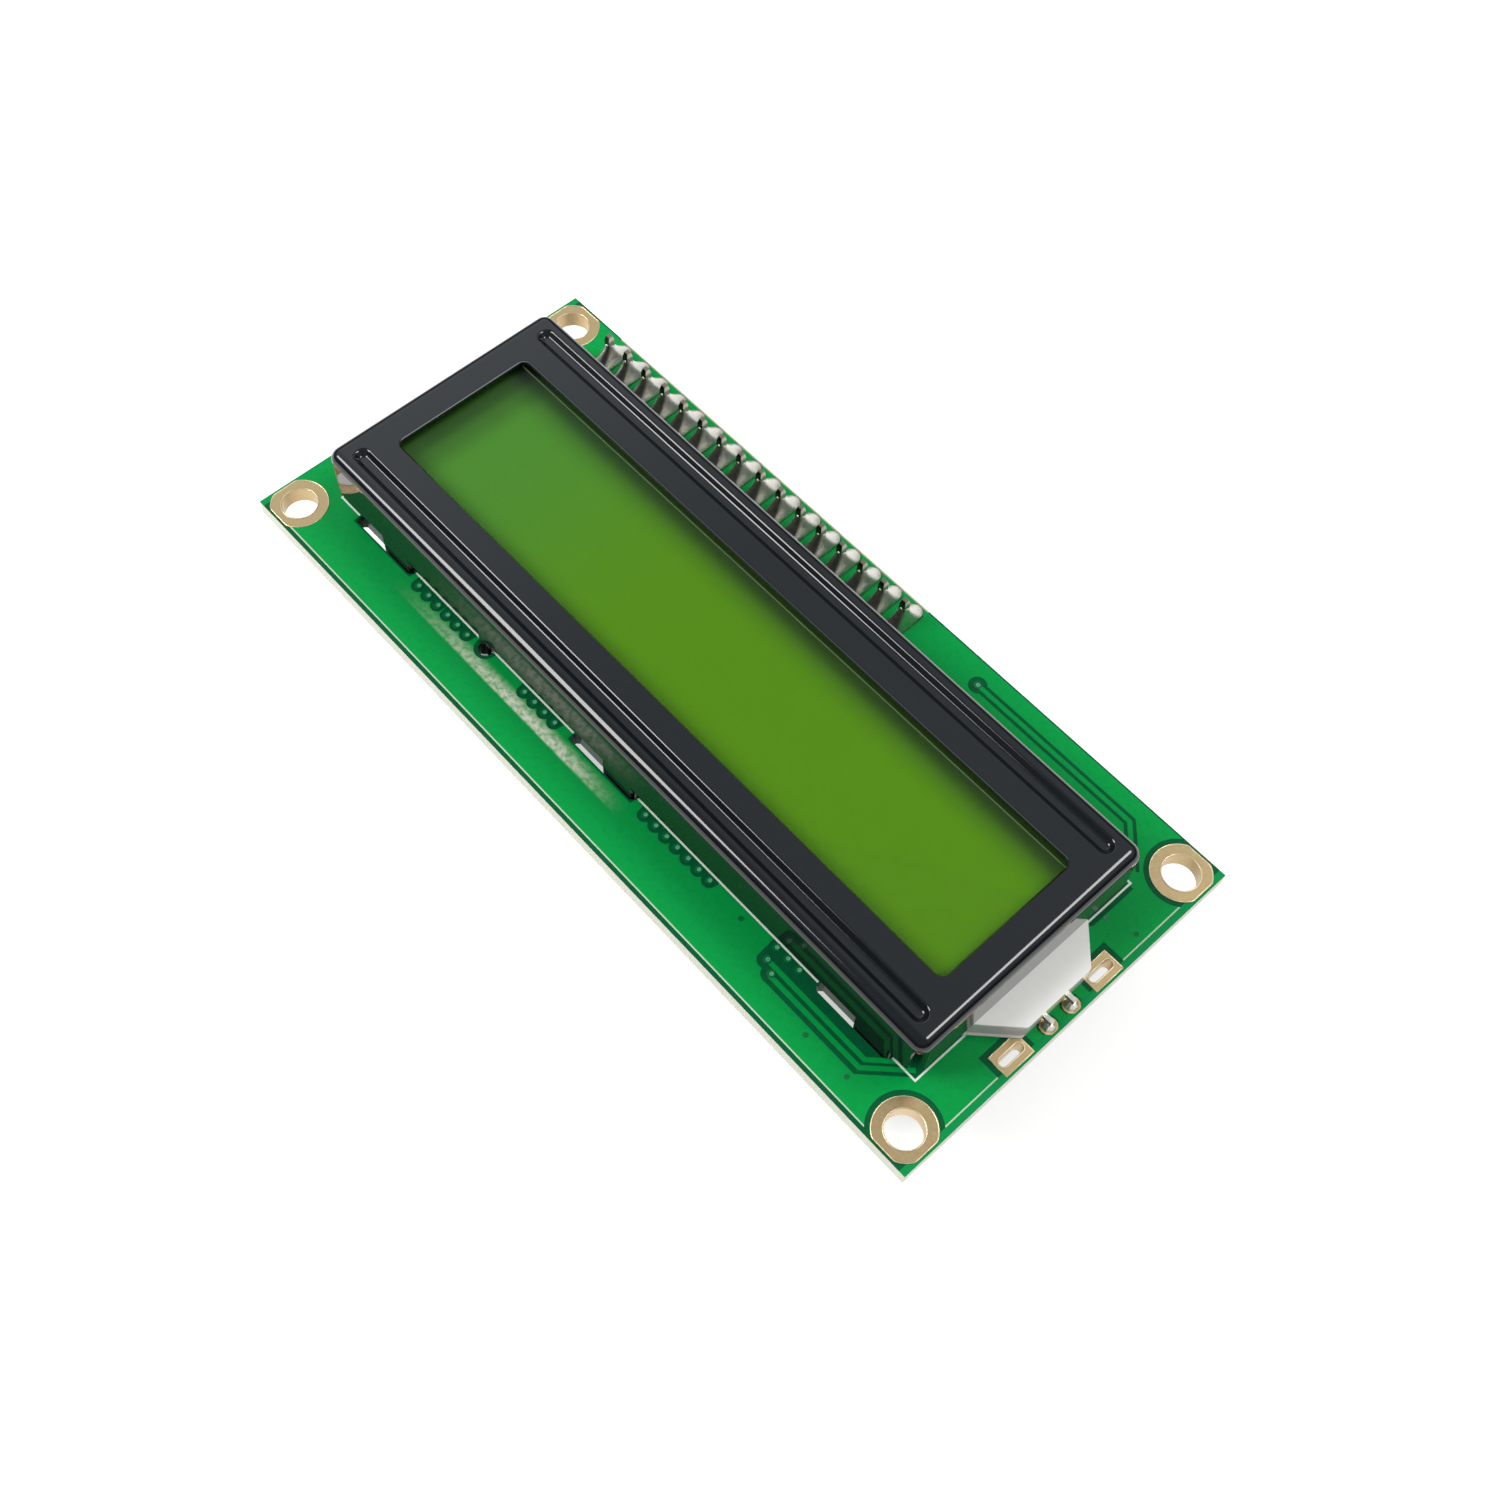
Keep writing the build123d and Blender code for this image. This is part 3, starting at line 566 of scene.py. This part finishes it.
half_line = LINE_WIDTH / 2
stops = [LINE_LEFT - half_line]
for slot_x in SLOT_XS:
    stops += [slot_x - SLOT_LENGTH / 2 - SLOT_MARGIN, slot_x + SLOT_LENGTH / 2 + SLOT_MARGIN]
stops.append(LINE_RIGHT + half_line)
bars = []
for start, end in zip(stops[::2], stops[1::2]):
    for y in (LINE_FRONT, LINE_BACK):
        bars.append(bar((start, end), (y - half_line, y + half_line)))
for x in (LINE_LEFT, LINE_RIGHT):
    bars.append(bar((x - half_line, x + half_line), (LINE_FRONT + half_line, LINE_BACK - half_line)))
outline_print = flat_piece("printed_outline", bars, COPPER_HEIGHT, LINE_HEIGHT, ink_material)
join_board(outline_print)


# Lands.
# Bare copper rings and plates round the holes, plated with nickel and a thin coat of gold
# in a bath. The plating is thicker and rounded where it turns over an edge.
RIM = 0.07                 # radius of the rounded edge
LAND_TOP = 0.05
HOLE_RADIUS = 1.6
LAND_RADIUS = 2.55
LAND_EDGE = (39.8, 17.8)
EDGE_LAND_X = (37.8, LAND_EDGE[0])
EDGE_LAND_SPAN = 3.05
EDGE_SLOT = (0.8, 2.5)
EDGE_LAND_MIDDLES = (-5.525, 4.525)
HOLE_POINTS = 36
LAND_POINTS = 72
SLOT_END_POINTS = 9
RIM_SMOOTHNESS = 2

# Thin gold over nickel is a soft satin tan.
gold_material, tree, shader = new_material("immersion gold on nickel", Metallic=1.0, Roughness=0.3)
mottle(tree, shader, "#d0b68c", "#b89d70", 0.25, bump=0.002, roughness=(0.26, 0.36))
for name in ("mounting_pads", "edge_pads", "lamp_lands"):
    dress(name, gold_material)

# The rounded edges catch the light from every side, and their gold is painted paler as a
# highlight, so each land has a bright rim.
rim_highlight_material, tree, shader = new_material("rounded gold edge with painted highlight", Metallic=1.0, Roughness=0.4)
mottle(tree, shader, "#f3e3bd", "#dcc79a", 0.2, bump=0.001)


def rims(name, outlines, radius, height, material):
    """Round wires laid along closed outlines, in mm, half sunk in the surface."""
    curve = bpy.data.curves.new(name, "CURVE")
    curve.dimensions = "3D"
    curve.bevel_depth = radius * MM
    curve.bevel_resolution = RIM_SMOOTHNESS
    piece = drawn_piece(name, curve, outlines, height, material)
    for polygon in piece.data.polygons:
        polygon.use_smooth = True
    return piece


def ring(centre, radius, points):
    """Points round a full circle."""
    return arc(centre, radius, 0, 360 - 360 / points, points)


rim_lines = []
for side_x in (-1, 1):
    for side_y in (-1, 1):
        centre = (side_x * MOUNT_X, side_y * MOUNT_Y)
        rim_lines.append(ring(centre, HOLE_RADIUS + RIM / 2, HOLE_POINTS))
        rim_lines.append([
            (
                max(-LAND_EDGE[0] + RIM, min(LAND_EDGE[0] - RIM, x)),
                max(-LAND_EDGE[1] + RIM, min(LAND_EDGE[1] - RIM, y)),
            )
            for x, y in ring(centre, LAND_RADIUS - RIM / 2, LAND_POINTS)
        ])
for middle in EDGE_LAND_MIDDLES:
    low, high = middle - EDGE_LAND_SPAN / 2 + RIM / 2, middle + EDGE_LAND_SPAN / 2 - RIM / 2
    left, right = EDGE_LAND_X[0] + RIM / 2, EDGE_LAND_X[1] - RIM / 2
    rim_lines.append(bar((left, right), (low, high)))
    slot_x = sum(EDGE_LAND_X) / 2
    turn = EDGE_SLOT[0] / 2 + RIM / 2
    straight = EDGE_SLOT[1] / 2 - EDGE_SLOT[0] / 2
    rim_lines.append(
        arc((slot_x, middle + straight), turn, 0, 180, SLOT_END_POINTS)
        + arc((slot_x, middle - straight), turn, 180, 360, SLOT_END_POINTS)
    )
land_rims = rims("land_rims", rim_lines, RIM, LAND_TOP - RIM / 2, rim_highlight_material)
join_board(land_rims)


# Header pins and their plastic strip.
# Square pins of tinned brass, pushed through a strip of moulded nylon that stands behind
# the board. Their upper ends were cut off.
CUT_END = 3.3              # above this a pin shows the brighter metal of its cut tip
PAINTED_SIDE_SLOPE = 0.7         # a surface that looks left or right more than this is painted paler as lit

# The pins are coloured a dark, warm tin. The two sides that look left and right are painted
# paler as light falling on them, and the cut tip is brown.
pin_material, tree, shader = new_material("tinned brass pin", Metallic=1.0, Roughness=0.3)
pin_shades = mottle(tree, shader, "#5d574d", "#48433b", 0.5, bump=0.002, roughness=(0.26, 0.36))
painted_side_share = facing(tree, "X", PAINTED_SIDE_SLOPE)
pin_with_painted_sides = add(tree, MIX, (painted_side_share, pin_shades, colour("#b3aea6")), data_type="RGBA")
at_tip = add(tree, MATHS, (part_place(tree)["Z"], CUT_END * MM), operation="GREATER_THAN")
tipped = add(tree, MIX, (at_tip, pin_with_painted_sides, colour("#8a7e72")), data_type="RGBA")
feed(shader.inputs["Base Color"], tipped)
dress("header_pins", pin_material)

# Filled nylon comes out of the mould with a fine, dull grain.
strip_material, tree, shader = new_material("moulded black nylon", Roughness=0.5)
mottle(tree, shader, "#1d1e20", "#151617", 0.12, bump=0.004, roughness=(0.42, 0.58))
dress("header_strip", strip_material)


# Solder on the pins.
# Tin solder that ran over each long land and drew up round the pin in a hollow cone. It set
# bright, with small waves.
JOINT_COUNT = 16
JOINT_PITCH = 2.54
JOINT_FIRST = (-32.0, 15.5, 0.0)
JOINT_SIZES = {
    "Half width": 0.98, "Half length": 2.4, "Crown radius": 0.34, "Height": 2.4, "Rim": 0.04,
}
CONE_SIDES = 28
CONE_LEVELS = 9
CONE_HOLLOW = 1.35         # above one, the wall curves in from the foot
CONE_RISE = 1.2            # above one, the levels crowd toward the foot
END_TURN = 3.0             # how soon the round foot moves out to the ends of the long land
GROUND = 0.01              # below this share of the height a point stays on the board

# Solder is smooth and silvery, and slow waves bend its highlights.
solder_material, tree, shader = new_material("bright tin solder", Metallic=1.0, Roughness=0.2)
mottle(tree, shader, "#d4d3cd", "#b4b2ac", 0.4, bump=0.006, roughness=(0.26, 0.38), detail=1.0)


def between(tree, start, end, share):
    """A value that goes from start to end with the share."""
    span = add(tree, MATHS, (end, start), operation="SUBTRACT")
    part = add(tree, MATHS, (span, share), operation="MULTIPLY")
    return add(tree, MATHS, (start, part), operation="ADD")


cone_tree, given, result = repeat_tree("solder_cones", JOINT_SIZES)
wall = add(cone_tree, "GeometryNodeMeshCylinder", {
    "Vertices": CONE_SIDES, "Side Segments": CONE_LEVELS, "Radius": 1.0, "Depth": 1.0,
}, fill_type="NGON")
position = add(cone_tree, "GeometryNodeInputPosition")
start = add(cone_tree, "ShaderNodeSeparateXYZ", [position]).outputs
up = add(cone_tree, MATHS, (start["Z"], 0.5), operation="ADD")
down = add(cone_tree, MATHS, (1.0, up), operation="SUBTRACT")
spread = add(cone_tree, MATHS, (down, CONE_HOLLOW), operation="POWER")
turned = add(cone_tree, MATHS, (start["Y"], END_TURN), operation="MULTIPLY")
end_side = add(cone_tree, "ShaderNodeClamp", (turned, -1.0, 1.0))
half_width = given.outputs["Half width"]
straight = add(cone_tree, MATHS, (given.outputs["Half length"], half_width), operation="SUBTRACT")
end_shift = add(cone_tree, MATHS, (end_side, straight), operation="MULTIPLY")
foot = {axis: add(cone_tree, MATHS, (start[axis], half_width), operation="MULTIPLY") for axis in "XY"}
foot["Y"] = add(cone_tree, MATHS, (foot["Y"], end_shift), operation="ADD")
moved = {}
for axis in "XY":
    crown = add(cone_tree, MATHS, (start[axis], given.outputs["Crown radius"]), operation="MULTIPLY")
    moved[axis] = between(cone_tree, crown, foot[axis], spread)
level = add(cone_tree, MATHS, (up, CONE_RISE), operation="POWER")
level = add(cone_tree, MATHS, (level, given.outputs["Height"]), operation="MULTIPLY")
rise = add(cone_tree, MATHS, (given.outputs["Rim"], level), operation="ADD")
off_ground = add(cone_tree, MATHS, (up, GROUND), operation="GREATER_THAN")
moved["Z"] = add(cone_tree, MATHS, (rise, off_ground), operation="MULTIPLY")
cone = add(cone_tree, "GeometryNodeSetPosition", {
    "Geometry": wall, "Position": add(cone_tree, "ShaderNodeCombineXYZ", moved),
})
set_on_points(cone_tree, add(cone_tree, "GeometryNodeSetShadeSmooth", [cone]), given, result)

first_x, first_y, first_z = JOINT_FIRST
joints = points_object(
    "pin_solder", [(first_x + i * JOINT_PITCH, first_y, first_z) for i in range(JOINT_COUNT)]
)
grow(joints, cone_tree, JOINT_SIZES, solder_material)
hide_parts("pin_joints")
join_board(joints)


# Bezel.
# Thin steel, drawn, pierced and pressed, then stoved with gloss black enamel. The edge of
# the window was left bare by the last cut.
WINDOW_CENTRE = (0.1, -0.75)
WINDOW_HALF = (32.3, 6.95)
WINDOW_RADIUS = 0.7
BEZEL_TOP = 7.1
BARE_EDGE = 0.09           # the cut edge round the window shows bare steel this wide

# Stoved enamel is nearly black, with sharp highlights that a slight ripple breaks up. Bare
# steel shows as a thin bright line round the window.
enamel_material, tree, shader = new_material("gloss black enamel on steel", Roughness=0.08)
enamel_shades = mottle(tree, shader, "#12161a", "#0d1013", 0.6, bump=0.0008, roughness=(0.05, 0.1))
place = part_place(tree)
past_corner = {}
for axis, centre, half_size in zip("XY", WINDOW_CENTRE, WINDOW_HALF):
    along = add(tree, MATHS, (place[axis], centre * MM), operation="SUBTRACT")
    away = add(tree, MATHS, [along], operation="ABSOLUTE")
    past = add(tree, MATHS, (away, (half_size - WINDOW_RADIUS) * MM), operation="SUBTRACT")
    past_corner[axis] = add(tree, MATHS, (past, 0.0), operation="MAXIMUM")
offset = add(tree, "ShaderNodeCombineXYZ", past_corner)
rim_distance = add(tree, "ShaderNodeVectorMath", [offset], operation="LENGTH")
near_window = near(tree, rim_distance, WINDOW_RADIUS, BARE_EDGE)
at_top = add(tree, MATHS, (place["Z"], (BEZEL_TOP - BARE_EDGE) * MM), operation="GREATER_THAN")
bare = add(tree, MATHS, (near_window, at_top), operation="MULTIPLY")
steel = add(tree, MIX, (bare, enamel_shades, colour("#b9b8b4")), data_type="RGBA")
feed(shader.inputs["Base Color"], steel)
feed(shader.inputs["Metallic"], bare)
dress("bezel", enamel_material)


# Display cell.
# Two glass plates with a polarizer on each side, glued round a thin filling. At rest it reads
# as one even yellow-green with the film and the light guide behind it.
PAINTED_REFLECTION = 5.88           # where a painted reflection of the window's bright edge shows as a thin pale line on the film
PAINTED_REFLECTION_HALF = 0.03
FILM_ALPHA = 0.12
PAINTED_REFLECTION_ALPHA = 0.32
COOL_X = (-28.0, -6.0)     # the green is cooler left of these two places
BACK_SHADE_Y = (2.7, 7.7)
BACK_SHADE_LEFT = 0.12     # share of the light that is left behind them
END_SHADE_X = (-28.2, -30.4)
END_SHADE_LEFT = 0.66

# The satin film in front dims what lies behind it and blurs what it mirrors.
film_material, tree, shader = new_material(
    "front polarizer film", Roughness=0.3, Alpha=FILM_ALPHA, Specular_IOR_Level=0.9,
)
film_shades = mottle(tree, shader, "#1c2416", "#181f13", 0.2)
# Painted reflection: a thin pale line where the window's bright edge is mirrored in the film.
painted_reflection = near(tree, part_place(tree)["Y"], PAINTED_REFLECTION, PAINTED_REFLECTION_HALF)
film_with_painted_reflection = add(tree, MIX, (painted_reflection, film_shades, colour("#9fb48c")), data_type="RGBA")
feed(shader.inputs["Base Color"], film_with_painted_reflection)
feed(shader.inputs["Alpha"], between(tree, FILM_ALPHA, PAINTED_REFLECTION_ALPHA, painted_reflection))
dress("front_polarizer", film_material)

# Glass this thin is nearly clear, with a trace of green.
glass_material, tree, shader = new_material("soda lime display glass", Roughness=0.05, Alpha=0.04)
mottle(tree, shader, "#34503f", "#2d4838", 5.0)
for name in ("front_glass", "rear_glass"):
    dress(name, glass_material)

# The filling is lit from behind. Painted shade of the bezel darkens it along its back side
# and at its left end, and the green is also cooler toward that end.
filling_material, tree, shader = new_material(
    "liquid crystal at rest", Roughness=0.6, Specular_IOR_Level=0.0,
)
green = mottle(tree, shader, "#5f9f04", "#5b9b04", 9.0)
place = part_place(tree)
cool_share, back_shade_share, left_end_shade_share = (
    add(tree, RAMP, (place[axis], start * MM, end * MM, 1.0, low), interpolation_type="SMOOTHSTEP")
    for axis, (start, end), low in (
        ("X", COOL_X, 0.0), ("Y", BACK_SHADE_Y, BACK_SHADE_LEFT), ("X", END_SHADE_X, END_SHADE_LEFT),
    )
)
cool = add(tree, MIX, (cool_share, green, colour("#529b2d")), data_type="RGBA")
# Painted shade: darker along the back side and the left end, where the bezel shades the film.
light_left_by_painted_shade = add(tree, MATHS, (back_shade_share, left_end_shade_share), operation="MULTIPLY")
filling_with_painted_shade = add(tree, MIX, (light_left_by_painted_shade, colour("#13201b"), cool), data_type="RGBA")
feed(shader.inputs["Base Color"], filling_with_painted_shade)
dress("liquid_crystal", filling_material)

# The line of printed glue between the plates is a dull olive.
seal_material, tree, shader = new_material("printed epoxy seal", Roughness=0.5)
mottle(tree, shader, "#46512c", "#39431f", 0.3)
dress("cell_seal", seal_material)

# The film behind the cell is smooth and a lighter yellow-green than the filling.
glow_material, tree, shader = new_material("yellow-green rear film", Roughness=0.55)
mottle(tree, shader, "#6db62b", "#64ac26", 6.0)
dress("rear_polarizer", glow_material)

# White plastic and film scatter the lamp's light. Their surface is even and half dull.
white_material, tree, shader = new_material("white moulded plastic", Roughness=0.5)
mottle(tree, shader, "#e4e5df", "#d6d8d0", 0.5, bump=0.003)
for name in ("diffuser", "base_film", "backlight_frame"):
    dress(name, white_material)

# The layers of the rubber are too fine to tell apart and blur to a dull, dusty pink.
rubber_material, tree, shader = new_material("layered contact rubber", Roughness=0.7)
mottle(tree, shader, "#b08a82", "#9c756d", 0.3)
dress("contact_strips", rubber_material)


# Light guide tongue.
# A plate of clear acrylic under a pearly white film. The lamp sits in the end of the tongue,
# and its two wires are soldered to lands on the board.

# Acrylic carries the light of the white films on its faces, and its sides are coloured pale
# and soft as painted light.
acrylic_material, tree, shader = new_material("clear acrylic", Roughness=0.22, Transmission_Weight=0.1)
mottle(tree, shader, "#f0edf0", "#dddadd", 1.2, bump=0.004)
dress("light_guide", acrylic_material)

# The film is a clean, even white with a soft sheen.
pearl_material, tree, shader = new_material("pearly reflector film", Roughness=0.35)
mottle(tree, shader, "#fafbf8", "#f3f5f2", 1.5, bump=0.002)
dress("tongue_film", pearl_material)

# The lamp's phosphor shows as a pale yellow through its resin.
lamp_material, tree, shader = new_material("lamp resin", Roughness=0.3)
mottle(tree, shader, "#dfe8b8", "#cfd8a0", 0.5)
dress("lamp", lamp_material)
for name in ("lamp_joints", "lamp_leads"):
    dress(name, solder_material)


# Parts behind the board.
# Black resin dropped over the two driver chips, and small resistors and capacitors between
# tinned ends.

# Resin that was dropped on and cured has slow dents and an uneven half gloss.
resin_material, tree, shader = new_material("black epoxy resin", Roughness=0.35)
mottle(tree, shader, "#1c1c1e", "#131315", 0.8, bump=0.02, roughness=(0.28, 0.45))
dress("chip_blobs", resin_material)

# The glaze over a printed resistor is smooth and nearly black.
glaze_material, tree, shader = new_material("resistor glaze", Roughness=0.3)
mottle(tree, shader, "#222326", "#18191b", 0.3)
dress("chip_resistors", glaze_material)

# Fired ceramic is a dull brown with a fine grain.
ceramic_material, tree, shader = new_material("capacitor ceramic", Roughness=0.45)
mottle(tree, shader, "#b59470", "#a38260", 0.2, bump=0.003)
dress("chip_capacitors", ceramic_material)
dress("chip_ends", solder_material)


# Floor, light and background.
# A plain pale floor at the tips of the pins, one large soft box in front on the left, one
# high behind on the right, and a soft room that is brighter behind the board than before it.
FLOOR_DROP = -10.15
FLOOR_SIZE = 3000.0
FLOOR_GLOW = 0.5           # keeps the floor white to the eye without lighting the board
ROOM_LOW = 0.07            # the room near the table, against the white table at 1
ROOM_FRONT = 0.25          # overhead, toward the front
ROOM_BACK = (-0.1, 0.45, 0.35)     # where it starts and ends, and what is added toward the back
ROOM_LEFT = (0.38, 0.62, 0.7)      # the same toward the window on the left
ROOM_HIGH = (0.25, 0.65, 1.0)      # the same from the horizon up
ROOM_COLOUR = (0.87, 0.95, 1.0, 1.0)   # linear: what gloss mirrors is a little cooler than the lamps
LAMP_COLOUR = (1.0, 0.975, 0.95)       # linear

# The floor is an even, dull near-white that fades into the background.
floor_material, tree, shader = new_material(
    "pale floor", Roughness=0.9, Base_Color=colour("#e6e6e6"), Specular_IOR_Level=0.0,
    Emission_Color=colour("#ffffff"),
)
rays = add(tree, "ShaderNodeLightPath").outputs
seen = add(tree, MATHS, (rays["Is Camera Ray"], rays["Is Glossy Ray"]), operation="MAXIMUM")
seen = add(tree, MATHS, (seen, rays["Is Transmission Ray"]), operation="MAXIMUM")
feed(shader.inputs["Emission Strength"], add(tree, MATHS, (seen, FLOOR_GLOW), operation="MULTIPLY"))
reach = FLOOR_SIZE / 2
corners = [(x * MM, y * MM, FLOOR_DROP * MM) for x, y in bar((-reach, reach), (-reach, reach))]
floor_mesh = bpy.data.meshes.new("floor")
floor_mesh.from_pydata(corners, [], [(0, 1, 2, 3)])
floor_mesh.materials.append(floor_material)
floor = bpy.data.objects.new("floor", floor_mesh)
bpy.context.scene.collection.objects.link(floor)

world = bpy.data.worlds.new("surround")
world.use_nodes = True
tree = world.node_tree
backdrop = tree.nodes["Background"]
toward = add(tree, "ShaderNodeTexCoord").outputs["Generated"]
sky = add(tree, "ShaderNodeSeparateXYZ", [toward]).outputs
leftward = add(tree, MATHS, (sky["X"], -1.0), operation="MULTIPLY")
left_share, back_share, high_share = (
    add(tree, RAMP, (value, start, end, 0.0, most), interpolation_type="SMOOTHSTEP")
    for value, (start, end, most) in (
        (leftward, ROOM_LEFT), (sky["Y"], ROOM_BACK), (sky["Z"], ROOM_HIGH),
    )
)
overhead = add(tree, MATHS, (left_share, back_share), operation="ADD")
overhead = add(tree, MATHS, (overhead, ROOM_FRONT), operation="ADD")
room = add(tree, MATHS, (overhead, high_share), operation="MULTIPLY")
room = add(tree, MATHS, (room, ROOM_LOW), operation="ADD")
rays = add(tree, "ShaderNodeLightPath").outputs
seen = add(tree, MATHS, (rays["Is Camera Ray"], rays["Is Transmission Ray"]), operation="MAXIMUM")
feed(backdrop.inputs["Strength"], between(tree, room, 1.0, seen))
tint = add(tree, MIX, (rays["Is Glossy Ray"], colour("#ffffff"), ROOM_COLOUR), data_type="RGBA")
feed(backdrop.inputs["Color"], tint)
bpy.context.scene.world = world


def soft_lamp(name, direction, distance, size, power):
    """A soft box that faces the display from the given direction, in metres and watts."""
    data = bpy.data.lights.new(name, "AREA")
    data.shape = "RECTANGLE"
    data.size, data.size_y = size
    data.energy = power
    data.color = LAMP_COLOUR
    lamp = bpy.data.objects.new(name, data)
    lamp.location = mathutils.Vector(direction).normalized() * distance
    lamp.rotation_euler = lamp.location.to_track_quat("Z", "Y").to_euler()
    bpy.context.scene.collection.objects.link(lamp)


soft_lamp("front_lamp", direction=(-0.44, -0.55, 0.71), distance=0.66, size=(0.26, 0.3), power=3.3)
soft_lamp("back_lamp", direction=(0.36, 0.38, 0.85), distance=0.65, size=(0.3, 0.14), power=1.7)

bpy.context.scene.view_settings.view_transform = "Standard"
